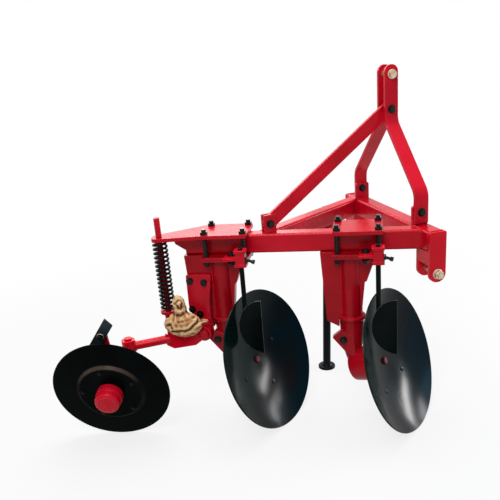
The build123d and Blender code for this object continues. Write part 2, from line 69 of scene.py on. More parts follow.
crossPlace = middle("cross_beam")
beamTurn = math.radians(partSet["beamAngle"])
alongBeam = Vector((math.cos(beamTurn), -math.sin(beamTurn), 0))
rightOfBeam = Vector((-math.sin(beamTurn), -math.cos(beamTurn), 0))
up = Vector((0, 0, 1))


def atPart(x, y, z):
    crossX, crossY = partSet["crossMid"]
    return Vector((crossPlace.x + (x - crossX) / 1000, crossPlace.y + (y - crossY) / 1000, z / 1000))


def onBeam(s, off, z):
    return atPart(0, 0, 0) + alongBeam * (s / 1000) + rightOfBeam * (off / 1000) + up * (z / 1000)


def onStand(z):
    footX, footY = partSet["standFoot"]
    leanX, leanY = partSet["standLean"]
    return atPart(footX + leanX * z, footY + leanY * z, z)


def discMiddle(unit):
    s, off, z = partSet["discMid"]
    return onBeam(s + unit, off, z)


wheelSet = {"centre": (-1128.0, 105.5, 266.87), "axis": (-0.3123, -0.9226, -0.2267)}
wheelCentre = atPart(*wheelSet["centre"])
wheelOut = Vector(wheelSet["axis"]).normalized()
wheelAcross = wheelOut.cross(up).normalized() * -1
wheelHigh = wheelOut.cross(wheelAcross).normalized()


def onWheel(x, y, z):
    return wheelCentre + (wheelAcross * x + wheelHigh * y + wheelOut * z) / 1000


# camera, as the photo was taken
cameraSet = {
    "place": (-1028.8, -2525.2, 1669.0),
    "yaw": 11.644,
    "pitch": 20.029,
    "roll": -5.343,
    "lens": 44.71,
    "shift": (0.0254, 0.0667),
}


def makeCamera():
    cam = bpy.data.cameras.new("photoCamera")
    cam.sensor_width = 36.0
    cam.lens = cameraSet["lens"]
    cam.shift_x, cam.shift_y = cameraSet["shift"]
    cam.clip_end = 100.0
    holder = bpy.data.objects.new("photoCamera", cam)
    bpy.context.scene.collection.objects.link(holder)
    yaw, pitch, roll = (math.radians(cameraSet[k]) for k in ("yaw", "pitch", "roll"))
    turn = Matrix.Rotation(-yaw, 4, "Z") @ Matrix.Rotation(math.radians(90) - pitch, 4, "X")
    turn = turn @ Matrix.Rotation(roll, 4, "Z")
    holder.matrix_world = Matrix.Translation(atPart(*cameraSet["place"])) @ turn
    bpy.context.scene.camera = holder


makeCamera()
print("camera set")


# node helpers for the finishes
def startFinish(name):
    mat = bpy.data.materials.new(name)
    mat.use_nodes = True
    tree = mat.node_tree
    tree.nodes.clear()
    out = tree.nodes.new("ShaderNodeOutputMaterial")
    shader = tree.nodes.new("ShaderNodeBsdfPrincipled")
    tree.links.new(shader.outputs["BSDF"], out.inputs["Surface"])
    coords = tree.nodes.new("ShaderNodeTexCoord").outputs["Object"]
    return mat, tree, shader, coords


def setShader(shader, **values):
    for key, value in values.items():
        shader.inputs[key.replace("_", " ")].default_value = value


def noiseOf(tree, coords, scale, detail=3.0, rough=0.55, stretch=None):
    if stretch:
        mapping = tree.nodes.new("ShaderNodeMapping")
        mapping.inputs["Scale"].default_value = stretch
        tree.links.new(coords, mapping.inputs["Vector"])
        coords = mapping.outputs["Vector"]
    node = tree.nodes.new("ShaderNodeTexNoise")
    node.inputs["Scale"].default_value = scale
    node.inputs["Detail"].default_value = detail
    node.inputs["Roughness"].default_value = rough
    tree.links.new(coords, node.inputs["Vector"])
    return node.outputs["Fac"]


def rampOf(tree, source, stops):
    node = tree.nodes.new("ShaderNodeValToRGB")
    bar = node.color_ramp
    for k, (at, colour) in enumerate((stops[0], stops[-1])):
        bar.elements[k].position = at
        bar.elements[k].color = (*colour, 1.0)
    for at, colour in stops[1:-1]:
        bar.elements.new(at).color = (*colour, 1.0)
    tree.links.new(source, node.inputs["Fac"])
    return node.outputs["Color"]


def spread(tree, source, low, high):
    node = tree.nodes.new("ShaderNodeMapRange")
    node.inputs["To Min"].default_value = low
    node.inputs["To Max"].default_value = high
    tree.links.new(source, node.inputs["Value"])
    return node.outputs["Result"]


def mixOf(tree, factor, a, b):
    node = tree.nodes.new("ShaderNodeMix")
    node.data_type = "RGBA"
    tree.links.new(factor, node.inputs["Factor"])
    tree.links.new(a, node.inputs["A"])
    if isinstance(b, tuple):
        node.inputs["B"].default_value = (*b, 1.0)
    else:
        tree.links.new(b, node.inputs["B"])
    return node.outputs["Result"]


def mathOf(tree, operation, a, b):
    node = tree.nodes.new("ShaderNodeMath")
    node.operation = operation
    tree.links.new(a, node.inputs[0])
    tree.links.new(b, node.inputs[1])
    return node.outputs["Value"]


def vectorOf(tree, operation, source, other=None):
    node = tree.nodes.new("ShaderNodeVectorMath")
    node.operation = operation
    tree.links.new(source, node.inputs[0])
    if other is not None:
        node.inputs[1].default_value = other
    return node.outputs["Value" if operation == "LENGTH" else "Vector"]


def bumpOf(tree, source, strength, distance, under=None):
    node = tree.nodes.new("ShaderNodeBump")
    node.inputs["Strength"].default_value = strength
    node.inputs["Distance"].default_value = distance
    tree.links.new(source, node.inputs["Height"])
    if under:
        tree.links.new(under, node.inputs["Normal"])
    return node.outputs["Normal"]


def edgeOf(tree, radius):
    # rounded normal, and a mask that is bright on outer and inner edges
    soft = tree.nodes.new("ShaderNodeBevel")
    soft.samples = 6
    soft.inputs["Radius"].default_value = radius
    flat = tree.nodes.new("ShaderNodeNewGeometry")
    dot = tree.nodes.new("ShaderNodeVectorMath")
    dot.operation = "DOT_PRODUCT"
    tree.links.new(soft.outputs["Normal"], dot.inputs[0])
    tree.links.new(flat.outputs["Normal"], dot.inputs[1])
    mask = tree.nodes.new("ShaderNodeMapRange")
    mask.inputs["From Min"].default_value = 0.99
    mask.inputs["From Max"].default_value = 0.80
    tree.links.new(dot.outputs["Value"], mask.inputs["Value"])
    return soft.outputs["Normal"], mask.outputs["Result"]


# gloss red enamel
redSet = {
    "deep": (0.40, 0.0015, 0.008),
    "plain": (0.55, 0.0030, 0.018),
    # paintedHighlight: painted highlight, a lighter pink laid on the edges
    "paintedHighlight": (0.72, 0.035, 0.075),
    "rough": (0.20, 0.34),
    "gloss": 0.14,
    "edge": 0.003,
    "tone": 3.2,
    "patch": 38.0,
    "cloud": 9.0,
    "ripple": 130.0,
}
# painted shade: legs and hub arms get a darker copy of the red; painted light: the clevises and the lever
# get a brighter copy
shadedRedSet = {**redSet, "deep": (0.29, 0.0010, 0.005), "plain": (0.40, 0.0020, 0.011)}
litRedSet = {**redSet, "deep": (0.56, 0.0025, 0.012), "plain": (0.76, 0.0050, 0.026)}
# painted shade: the hubs that show through the discs get a much darker, dull copy of the red
shadedHubSet = {
    **redSet,
    "deep": (0.045, 0.0010, 0.0035),
    "plain": (0.085, 0.0016, 0.0055),
    "paintedHighlight": (0.15, 0.010, 0.018),
    "rough": (0.40, 0.55),
}


def redPaint(name, kit):
    mat, tree, shader, coords = startFinish(name)
    tone = noiseOf(tree, coords, kit["tone"], 4.0)
    colour = rampOf(tree, tone, [(0.36, kit["deep"]), (0.62, kit["plain"])])
    softNormal, edge = edgeOf(tree, kit["edge"])
    patch = noiseOf(tree, coords, kit["patch"], 4.0)
    # painted highlight: edges lightened to pink in patches
    edgeHighlightMask = mathOf(tree, "MULTIPLY", edge, spread(tree, patch, 0.2, 1.0))
    tree.links.new(mixOf(tree, edgeHighlightMask, colour, kit["paintedHighlight"]), shader.inputs["Base Color"])
    cloud = noiseOf(tree, coords, kit["cloud"], 5.0)
    tree.links.new(spread(tree, cloud, *kit["rough"]), shader.inputs["Roughness"])
    ripple = noiseOf(tree, coords, kit["ripple"], 2.0)
    tree.links.new(bumpOf(tree, ripple, 0.10, 0.0008, softNormal), shader.inputs["Normal"])
    setShader(shader, Specular_IOR_Level=kit["gloss"])
    return mat


# gloss black of the discs, polished in rings round the axis
discSet = {
    # the green, brown and blue tints are painted reflections
    "greenReflection": (0.0015, 0.0095, 0.0080),
    "blueReflection": (0.0015, 0.0075, 0.0115),
    "brownReflection": (0.005, 0.005, 0.005),
    "rough": (0.13, 0.22),
    "gloss": 0.05,
    "axis": (0.6426, -0.6989, 0.3140),
    "lie": 0.55,
    "drift": 1.1,
    "tone": 2.6,
    "grooves": 900.0,
    "smear": 7.0,
    "dust": 60.0,
}


def discBlack(name, centre):
    mat, tree, shader, coords = startFinish(name)
    arm = vectorOf(tree, "SUBTRACT", coords, centre)
    split = tree.nodes.new("ShaderNodeSeparateXYZ")
    tree.links.new(arm, split.inputs["Vector"])
    # painted reflection: a green tint on the left, blue on the right, with a noise to break it up
    tone = tree.nodes.new("ShaderNodeMath")
    tone.operation = "MULTIPLY_ADD"
    tone.inputs[1].default_value = discSet["drift"]
    tree.links.new(split.outputs["X"], tone.inputs[0])
    tree.links.new(noiseOf(tree, coords, discSet["tone"], 2.0), tone.inputs[2])
    paintedReflection = rampOf(tree, tone.outputs["Value"],
                  [(0.36, discSet["greenReflection"]), (0.5, discSet["brownReflection"]), (0.66, discSet["blueReflection"])])
    tree.links.new(paintedReflection, shader.inputs["Base Color"])
    ring = vectorOf(tree, "CROSS_PRODUCT", arm, discSet["axis"])
    tree.links.new(vectorOf(tree, "NORMALIZE", ring), shader.inputs["Tangent"])
    grooves = tree.nodes.new("ShaderNodeTexNoise")
    grooves.noise_dimensions = "1D"
    grooves.inputs["Scale"].default_value = discSet["grooves"]
    tree.links.new(vectorOf(tree, "LENGTH", arm), grooves.inputs["W"])
    smear = noiseOf(tree, coords, discSet["smear"], 5.0)
    tree.links.new(spread(tree, smear, *discSet["rough"]), shader.inputs["Roughness"])
    dust = noiseOf(tree, coords, discSet["dust"], 3.0)
    under = bumpOf(tree, dust, 0.05, 0.0006)
    tree.links.new(bumpOf(tree, grooves.outputs["Fac"], 0.05, 0.0002, under), shader.inputs["Normal"])
    setShader(shader, Specular_IOR_Level=discSet["gloss"], Anisotropic=discSet["lie"])
    return mat


# black paint of the wheel pan, stand, spring and scrapers
blackSet = {"tone": 6.0, "smear": 11.0, "edge": 0.002}
panSet = {
    "deep": (0.0003, 0.0007, 0.0007),
    "plain": (0.0008, 0.0024, 0.0022),
    "rough": (0.16, 0.28),
    "gloss": 0.02,
    "grain": 120.0,
    # stepHighlight: painted highlight colour on the pan's step
    "stepHighlight": (0.13, 0.090, 0.070),
    "step": (0.139, 0.147, 0.158, 0.168),
    "tilt": (0.10, 0.55),
    "patch": 24.0,
}
ironSet = {
    "deep": (0.001, 0.002, 0.0025),
    "plain": (0.004, 0.006, 0.007),
    "rough": (0.22, 0.36),
    "gloss": 0.07,
    "grain": 180.0,
}
bladeSet = {
    "deep": (0.0008, 0.0018, 0.0018),
    "plain": (0.002, 0.005, 0.005),
    "rough": (0.20, 0.34),
    "gloss": 0.05,
    "grain": 150.0,
    # painted highlight: pale grey on the blades' edges
    "edgeHighlight": (0.22, 0.23, 0.23),
}
greySet = {
    "deep": (0.010, 0.016, 0.019),
    "plain": (0.024, 0.037, 0.044),
    "rough": (0.25, 0.40),
    "gloss": 0.12,
    "grain": 150.0,
}


def stepHighlightOf(tree, coords):
    # painted highlight: a brown band on the step round the wheel pan, only on the faces that look up, in
    # patches
    arm = vectorOf(tree, "SUBTRACT", coords, wheelCentre)
    reach = vectorOf(tree, "LENGTH", vectorOf(tree, "CROSS_PRODUCT", arm, wheelOut))
    dark, dim, white = ((shade,) * 3 for shade in (0, 0.04, 1))
    band = rampOf(tree, reach, list(zip(panSet["step"], (dark, white, white, dark))))
    tilt = tree.nodes.new("ShaderNodeSeparateXYZ")
    tree.links.new(tree.nodes["Texture Coordinate"].outputs["Normal"], tilt.inputs["Vector"])
    level = rampOf(tree, tilt.outputs["Z"], list(zip(panSet["tilt"], (dim, white))))
    paintedHighlight = spread(tree, noiseOf(tree, coords, panSet["patch"], 4.0), 0.2, 1.0)
    return mathOf(tree, "MULTIPLY", level, mathOf(tree, "MULTIPLY", band, paintedHighlight))


def blackPaint(name, kit):
    mat, tree, shader, coords = startFinish(name)
    tone = noiseOf(tree, coords, blackSet["tone"], 4.0)
    paint = rampOf(tree, tone, [(0.35, kit["deep"]), (0.65, kit["plain"])])
    # painted highlight on the wheel pan's step
    if "stepHighlight" in kit:
        paint = mixOf(tree, stepHighlightOf(tree, coords), paint, kit["stepHighlight"])
    softNormal, edge = edgeOf(tree, blackSet["edge"])
    # painted highlight: edges lightened to pale grey
    if "edgeHighlight" in kit:
        paint = mixOf(tree, edge, paint, kit["edgeHighlight"])
    tree.links.new(paint, shader.inputs["Base Color"])
    smear = noiseOf(tree, coords, blackSet["smear"], 5.0)
    tree.links.new(spread(tree, smear, *kit["rough"]), shader.inputs["Roughness"])
    skin = noiseOf(tree, coords, kit["grain"], 3.0)
    tree.links.new(bumpOf(tree, skin, 0.12, 0.0006, softNormal), shader.inputs["Normal"])
    setShader(shader, Specular_IOR_Level=kit["gloss"])
    return mat


# dark oxide of bolts and nuts, with turned threads on the studs
boltSet = {
    "deep": (0.002, 0.002, 0.002),
    "plain": (0.010, 0.0095, 0.009),
    "rough": (0.10, 0.22),
    "metal": 0.55,
    "gloss": 0.4,
    "tone": 45.0,
    "smear": 70.0,
    "skin": 400.0,
    "pitch": 0.0025,
}


def boltBlack(name, threaded):
    mat, tree, shader, coords = startFinish(name)
    tone = noiseOf(tree, coords, boltSet["tone"], 4.0)
    colour = rampOf(tree, tone, [(0.35, boltSet["deep"]), (0.7, boltSet["plain"])])
    tree.links.new(colour, shader.inputs["Base Color"])
    smear = noiseOf(tree, coords, boltSet["smear"], 4.0)
    tree.links.new(spread(tree, smear, *boltSet["rough"]), shader.inputs["Roughness"])
    skin = noiseOf(tree, coords, boltSet["skin"], 2.0)
    normal = bumpOf(tree, skin, 0.10, 0.0004)
    if threaded:
        wave = tree.nodes.new("ShaderNodeTexWave")
        wave.bands_direction = "Z"
        wave.inputs["Scale"].default_value = 0.314 / boltSet["pitch"]  # a wave node has 3.18 bands per unit
        wave.inputs["Distortion"].default_value = 0.0
        tree.links.new(coords, wave.inputs["Vector"])
        normal = bumpOf(tree, wave.outputs["Fac"], 0.5, 0.0008, normal)
    tree.links.new(normal, shader.inputs["Normal"])
    setShader(shader, Metallic=boltSet["metal"], Specular_IOR_Level=boltSet["gloss"])
    return mat


# zinc on the hitch pins, with a yellow cast
zincSet = {
    "yellow": (0.46, 0.33, 0.17),
    "pale": (0.62, 0.55, 0.44),
    "rough": (0.25, 0.45),
    "metal": 0.75,
    "tone": 30.0,
    "smear": 80.0,
}


def zincPlate():
    mat, tree, shader, coords = startFinish("zincPlate")
    tone = noiseOf(tree, coords, zincSet["tone"], 4.0)
    colour = rampOf(tree, tone, [(0.35, zincSet["yellow"]), (0.65, zincSet["pale"])])
    tree.links.new(colour, shader.inputs["Base Color"])
    smear = noiseOf(tree, coords, zincSet["smear"], 3.0, stretch=(1, 8, 1))
    tree.links.new(spread(tree, smear, *zincSet["rough"]), shader.inputs["Roughness"])
    tree.links.new(bumpOf(tree, smear, 0.08, 0.0004), shader.inputs["Normal"])
    setShader(shader, Metallic=zincSet["metal"])
    return mat


# tan wrapping cloth, coarse weave, with painted shade in its creases and painted light on its ridges
wrapSet = {
    "shade": (0.080, 0.026, 0.006),
    "plain": (0.46, 0.210, 0.076),
    "pale": (0.82, 0.54, 0.29),
    "stain": 26.0,
    "weave": 140.0,
    "crumple": 55.0,
}


def tanCloth():
    mat, tree, shader, coords = startFinish("tanCloth")
    fold = tree.nodes.new("ShaderNodeAttribute")
    fold.attribute_name = "foldShade"
    # painted shade in the creases, painted light on the raised parts
    tone = rampOf(tree, fold.outputs["Fac"],
                  [(0.12, wrapSet["shade"]), (0.5, wrapSet["plain"]), (0.9, wrapSet["pale"])])
    stain = spread(tree, noiseOf(tree, coords, wrapSet["stain"], 4.0), -0.45, 0.50)
    tree.links.new(mixOf(tree, stain, tone, wrapSet["shade"]), shader.inputs["Base Color"])
    threads = []
    for bands in ("X", "Z"):
        wave = tree.nodes.new("ShaderNodeTexWave")
        wave.bands_direction = bands
        wave.inputs["Scale"].default_value = wrapSet["weave"]
        wave.inputs["Distortion"].default_value = 1.5
        wave.inputs["Detail"].default_value = 1.0
        tree.links.new(coords, wave.inputs["Vector"])
        threads.append(wave.outputs["Fac"])
    weave = mathOf(tree, "MAXIMUM", *threads)
    crumple = noiseOf(tree, coords, wrapSet["crumple"], 4.0)
    under = bumpOf(tree, crumple, 0.5, 0.004)
    tree.links.new(bumpOf(tree, weave, 0.35, 0.0008, under), shader.inputs["Normal"])
    setShader(shader, Roughness=0.85, Specular_IOR_Level=0.2, Sheen_Weight=0.15)
    return mat


redFinish = redPaint("redPaint", redSet)
shadedRedFinish = redPaint("shadedRed", shadedRedSet)
litRedFinish = redPaint("litRed", litRedSet)
shadedHubFinish = redPaint("shadedHubRed", shadedHubSet)
boltFinish = boltBlack("boltBlack", False)
studFinish = boltBlack("studBlack", True)
zincFinish = zincPlate()
ironFinish = blackPaint("ironBlack", ironSet)
bladeFinish = blackPaint("bladeBlack", bladeSet)
clothFinish = tanCloth()
finishes = {
    "red_paint": redFinish,
    "dark_iron": ironFinish,
    "dark_bolt": boltFinish,
    "zinc_pin": zincFinish,
    "tan_wrap": clothFinish,
}
ownFinish = {
    "furrow_wheel": blackPaint("panBlack", panSet),
    "wheel_scraper": blackPaint("scraperGrey", greySet),
    # painted light: brighter copy of the red on the lever and clevises
    "wheel_lever": litRedFinish,
    "hitch_clevis_right": litRedFinish,
    "hitch_clevis_left": litRedFinish,
}
for name, unit in zip(("front", "rear"), units):
    ownFinish[name + "_disc"] = discBlack(name + "DiscBlack", discMiddle(unit))
    # painted shade: darker red on the hubs seen through the discs
    ownFinish[name + "_disc_hub"] = shadedHubFinish
    # painted shade: darker copy of the red on the legs and hub arms
    ownFinish[name + "_leg"] = shadedRedFinish
    ownFinish[name + "_hub_arm"] = shadedRedFinish
    ownFinish[name + "_scraper"] = bladeFinish
    ownFinish[name + "_clamp_bolts"] = studFinish

for sub in frame["record"]["subparts"]:
    node = sub["node"]
    mesh = nodes[node].data
    mesh.materials.clear()
    mesh.materials.append(ownFinish.get(node) or finishes[sub["material_slot"]])
print("finishes on the CAD nodes")


# small helpers for new pieces
def facing(place, axis):
    return Matrix.Translation(place) @ Vector(axis).to_track_quat("Z", "Y").to_matrix().to_4x4()


def topEdges(made, place, axis, height):
    edges = {e for v in made["verts"] for e in v.link_edges
             if all((w.co - place).dot(Vector(axis)) > height * 0.9 for w in e.verts)}
    return list(edges)


def addHex(bm, place, axis, radius, height):
    made = bmesh.ops.create_cone(bm, cap_ends=True, segments=6, radius1=radius, radius2=radius,
                                 depth=height, matrix=facing(place + Vector(axis) * height / 2, axis))
    bmesh.ops.bevel(bm, geom=topEdges(made, place, axis, height), offset=radius * 0.14, segments=2,
                    profile=0.5, affect="EDGES", material=-1)


def addRound(bm, place, axis, radius, height, soft=0.0, sides=28):
    made = bmesh.ops.create_cone(bm, cap_ends=True, segments=sides, radius1=radius, radius2=radius,
                                 depth=height, matrix=facing(place + Vector(axis) * height / 2, axis))
    if soft:
        bmesh.ops.bevel(bm, geom=topEdges(made, place, axis, height), offset=soft, segments=3,
                        profile=0.5, affect="EDGES", material=-1)


washer = 0.003


def addNut(bm, place, axis, radius, height, stud=0.0):
    axis = Vector(axis).normalized()
    addRound(bm, place, axis, radius * 1.22, washer, 0.0008)
    addHex(bm, place + axis * washer, axis, radius, height - washer)
    if stud:
        addRound(bm, place + axis * height, axis, radius * 0.58, stud, stud * 0.3, 20)


def swellOf(phase, core):
    return 0.86 + 0.22 * abs(math.sin(phase)) + 0.10 * noise.noise(core * 90)


def addBead(bm, start, end, radius, ripple=0.007):
    # a weld: a low rod whose rings swell and shrink
    run = end - start
    length = run.length
    cuts = max(4, int(length / ripple) * 3)
    count = len(bm.verts)
    made = bmesh.ops.create_cone(bm, cap_ends=True, segments=8, radius1=radius, radius2=radius,
                                 depth=length, matrix=facing((start + end) / 2, run))
    sides = [e for e in {e for v in made["verts"] for e in v.link_edges}
             if abs((e.verts[0].co - e.verts[1].co).dot(run)) > length * length * 0.9]
    bmesh.ops.subdivide_edges(bm, edges=sides, cuts=cuts, use_grid_fill=False)
    aim = run.normalized()
    for v in list(bm.verts)[count:]:
        far = (v.co - start).dot(aim)
        core = start + aim * far
        v.co = core + (v.co - core) * swellOf(math.pi * far / ripple, core)


def addHoop(bm, centre, axis, place, thick, steps):
    # a round bar turned once about an axis
    start = bmesh.ops.create_circle(bm, segments=8, radius=thick, matrix=place)
    edges = list({e for v in start["verts"] for e in v.link_edges})
    bmesh.ops.spin(bm, geom=edges, cent=centre, axis=axis, angle=2 * math.pi, steps=steps, use_merge=True)


def addRingBead(bm, centre, axis, radius, thick, ripple=0.007):
    axis = Vector(axis).normalized()
    frameTurn = facing(centre, axis)
    count = len(bm.verts)
    place = frameTurn @ Matrix.Translation((radius, 0, 0)) @ Matrix.Rotation(math.pi / 2, 4, "X")
    steps = max(24, int(2 * math.pi * radius / ripple) * 3)
    addHoop(bm, centre, axis, place, thick, steps)
    for v in list(bm.verts)[count:]:
        arm = v.co - centre
        flat = arm - axis * arm.dot(axis)
        core = centre + flat.normalized() * radius
        turn = math.atan2(flat.dot(frameTurn.col[1].xyz), flat.dot(frameTurn.col[0].xyz))
        v.co = core + (v.co - core) * swellOf(turn * radius / ripple * math.pi, core)


def finishPiece(name, bm, body, finish, sharp=35):
    bmesh.ops.recalc_face_normals(bm, faces=bm.faces)
    mesh = bpy.data.meshes.new(name)
    bm.to_mesh(mesh)
    bm.free()
    mesh.shade_smooth()
    mesh.set_sharp_from_angle(angle=math.radians(sharp))
    mesh.materials.append(finish)
    piece = bpy.data.objects.new(name, mesh)
    bpy.context.scene.collection.objects.link(piece)
    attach(piece, body)
    return piece


# nuts on the mast, the stay, the wheel bracket and the plough units; two small caps
nutSet = {
    "radius": 0.0158,
    "height": 0.013,
    "seat": 0.014,
    "bracket": (0.0150, 0.012, 0.004),
    "bracketSpots": ((-725, 690), (-656, 680), (-728, 545), (-692, 520)),
    "bracketFace": 69,
    "arm": (0.0150, 0.012, 0.005),
    "armSpot": (-13, 80, 391),
    "scraper": (0.015, 0.013, 0.006),
    "scraperSpot": (95, 100),
    "scraperFaces": ((822, up), (790, -up)),
}
capSet = {
    "pivot": (-671, 117, 436),
    "pivotSize": (0.027, 0.016, 0.005),
    "stand": 896,
    "standSize": (0.0202, 0.0038, 0.0008),
}


def nodeEnds(node, axis):
    # the two end points of a straight rod along its own axis
    centre = middle(node)
    mesh = nodes[node].data
    reach = max((v.co - centre).dot(Vector(axis)) for v in mesh.vertices)
    return centre + Vector(axis) * reach, centre - Vector(axis) * reach


def acrossStay():
    run = middle("mast_bolt") - middle("stay_bolt")
    return Vector((-run.y, run.x, 0)).normalized()


def makeFrameNuts():
    bm = bmesh.new()
    side = Vector((0, 1, 0))
    bolts = [(node, side) for node in ("mast_bolt", "mast_foot_bolt_right", "mast_foot_bolt_left")]
    for node, axis in bolts + [("stay_bolt", acrossStay())]:
        for end, away in zip(nodeEnds(node, axis), (axis, -axis)):
            addNut(bm, end - away * nutSet["seat"], away, nutSet["radius"], nutSet["height"])
    for s, z in nutSet["bracketSpots"]:
        addNut(bm, onBeam(s, nutSet["bracketFace"], z), rightOfBeam, *nutSet["bracket"])
    for unit in units:
        s, off, z = nutSet["armSpot"]
        addNut(bm, onBeam(s + unit, off, z), rightOfBeam, *nutSet["arm"])
        s, off = nutSet["scraperSpot"]
        for z, away in nutSet["scraperFaces"]:
            addNut(bm, onBeam(s + unit, off, z), away, *nutSet["scraper"])
    finishPiece("frameNuts", bm, "frame", boltFinish)


def makeCaps():
    bm = bmesh.new()
    addRound(bm, onBeam(*capSet["pivot"]), rightOfBeam, *capSet["pivotSize"])
    finishPiece("pivotCap", bm, "frame", redFinish)
    bm = bmesh.new()
    addRound(bm, onStand(capSet["stand"]), up, *capSet["standSize"])
    finishPiece("standCap", bm, "stand", redFinish)


makeFrameNuts()
makeCaps()


# feet of the stay's lugs, from the pin down to the beam
footSet = {"half": 0.029, "notch": (0.012, 0.013), "inset": 0.0002}


def makeLugFeet():
    centre = middle("stay_bolt")
    across = acrossStay()
    along = across.cross(up)
    reach = [abs((v.co - centre).dot(across)) for v in nodes["stay_lug"].data.vertices]
    inner, outer = min(reach) + footSet["inset"], max(reach) - footSet["inset"]
    low = max(v.co.z for v in nodes["main_beam"].data.vertices) - centre.z
    half, (slot, drop) = footSet["half"], footSet["notch"]
    outline = ((-half, low), (half, low), (half, 0), (slot, 0),
               (slot, -drop), (-slot, -drop), (-slot, 0), (-half, 0))
    bm = bmesh.new()
    for side in (1, -1):
        corners = [bm.verts.new(centre + across * side * inner + along * x + up * z) for x, z in outline]
        grown = bmesh.ops.extrude_face_region(bm, geom=[bm.faces.new(corners)])["geom"]
        moved = [v for v in grown if isinstance(v, bmesh.types.BMVert)]
        bmesh.ops.translate(bm, verts=moved, vec=across * side * (outer - inner))
    finishPiece("stayLugFeet", bm, "frame", redFinish)


makeLugFeet()


# screws that lock the scraper rods and the stand
screwSet = {
    "block": (174, 140, 812),
    "droop": 0.32,
    "rod": 0.0065,
    "rodFrom": -0.004,
    "rodRun": 0.032,
    "headAt": 0.024,
    "head": (0.0105, 0.014),
    "lockAt": 170,
    "lock": (0.014, 0.011),
    "stand": 712,
    "standAim": (-0.4, 0.9, 0),
    "sleeve": 0.025,
    "standNut": (0.014, 0.014),
    "standRun": 0.055,
    "barAt": 0.051,
    "bar": (0.005, 0.07),
}


def makeScrews():
    bm = bmesh.new()
    s, off, z = screwSet["block"]
    for unit in units:
        start = onBeam(s + unit, off, z)
        aim = (alongBeam - up * screwSet["droop"]).normalized()
        addRound(bm, start + aim * screwSet["rodFrom"], aim, screwSet["rod"], screwSet["rodRun"], 0.001, 16)
        addHex(bm, start + aim * screwSet["headAt"], aim, *screwSet["head"])
        addHex(bm, onBeam(screwSet["lockAt"] + unit, off, z), alongBeam, *screwSet["lock"])
    aim = Vector(screwSet["standAim"]).normalized()
    seat = onStand(screwSet["stand"]) + aim * screwSet["sleeve"]
    addHex(bm, seat, aim, *screwSet["standNut"])
    addRound(bm, seat, aim, screwSet["rod"], screwSet["standRun"], 0.001, 16)
    across = aim.cross(up)
    radius, length = screwSet["bar"]
    barStart = seat + aim * screwSet["barAt"] - across * length / 2
    addRound(bm, barStart, across, radius, length, 0.0015, 16)
    finishPiece("lockScrews", bm, "frame", boltFinish)


makeScrews()


# hitch pin ends: washers, heads, collar and split pins
pinSet = {
    "washerAt": 0.030,
    "washer": (0.023, 0.004, 0.001),
    "headAt": 0.026,
    "head": (0.021, 0.016),
    "collarAt": 0.021,
    "collar": (0.021, 0.008, 0.002),
    "splitAt": (0.008, 0.009),
    "split": 0.0022,
    "eye": (0.020, 0.007),
    "leg": (0.016, 0.042),
    "spread": 0.12,
}


def addSplitPin(bm, place, along):
    across = Vector((1, 0, 0))
    size = pinSet["split"]
    rise, reach = pinSet["eye"]
    eye = place + up * rise
    ring = Matrix.Translation(eye + across * reach) @ Matrix.Rotation(math.pi / 2, 4, "Y")
    addHoop(bm, eye, along, ring, size, 20)
    rise, length = pinSet["leg"]
    for lean in (-pinSet["spread"], pinSet["spread"]):
        aim = (-up + across * lean).normalized()
        addRound(bm, place + up * rise, aim, size, length, 0.0008, 10)


def makePinEnds():
    bm = bmesh.new()
    side = Vector((0, 1, 0))
    lowerSplit, topSplit = pinSet["splitAt"]
    for node, away in (("lower_link_pin_right", -side), ("lower_link_pin_left", side)):
        outer, inner = nodeEnds(node, away)
        addRound(bm, outer - away * pinSet["washerAt"], away, *pinSet["washer"])
        addHex(bm, outer - away * pinSet["headAt"], away, *pinSet["head"])
        addSplitPin(bm, inner + away * lowerSplit, side)
    outer, inner = nodeEnds("top_link_pin", -side)
    addRound(bm, outer + side * pinSet["collarAt"], -side, *pinSet["collar"])
    addSplitPin(bm, inner - side * topSplit, side)
    finishPiece("pinEnds", bm, "frame", zincFinish)


makePinEnds()
print("bolts, screws and pin ends made")


# bolts that turn with the discs
turnSet = {
    "count": 4,
    "ring": 0.145,
    "seat": -0.0671,
    "head": (0.0105, 0.0032),
    "back": -0.0722,
    "nut": (0.0125, 0.009, 0.005),
    "dish": 0.2057,
    "first": (-139, -17),
}


def makeDiscBolts(name, body, unit, first):
    centre = discMiddle(unit)
    axis = Vector(discSet["axis"])
    across = axis.cross(up).normalized()
    high = across.cross(axis).normalized()
    bm = bmesh.new()
    for k in range(turnSet["count"]):
        turn = math.radians(360 / turnSet["count"] * k + first)
        arm = across * math.cos(turn) + high * math.sin(turn)
        lean = (axis - arm * turnSet["dish"]).normalized()  # square to the dish
        spot = centre + arm * turnSet["ring"]
        addRound(bm, spot + axis * turnSet["seat"], lean, *turnSet["head"], 0.0022, 20)
        addNut(bm, spot + axis * turnSet["back"], -lean, *turnSet["nut"])
    finishPiece(name, bm, body, ironFinish)


for name, unit, first in zip(("front", "rear"), units, turnSet["first"]):
    makeDiscBolts(name + "DiscBolts", name + "_disc", unit, first)


# the wheel's bolts, hub cap and the fixing of its scraper
trimSet = {
    "bolts": 5,
    "boltRing": (128, 22),
    "boltFirst": 172,
    "boltSize": (0.0085, 0.008),
    "cap": (0.0572, 50, 92),
    "capEdge": 0.009,
    "rings": ((0.040, 91.5, 0.0035), (0.0590, 51, 0.0025)),
    "ringRipple": 0.03,
    "scraper": (-3, 277),
    "nipple": (0.008, 0.008, 0.002),
    "washerAt": -55,
    "washer": (0.0165, 0.003, 0.0008),
    "nutAt": -53,
    "nut": (0.0115, 0.010, 0.004),
}


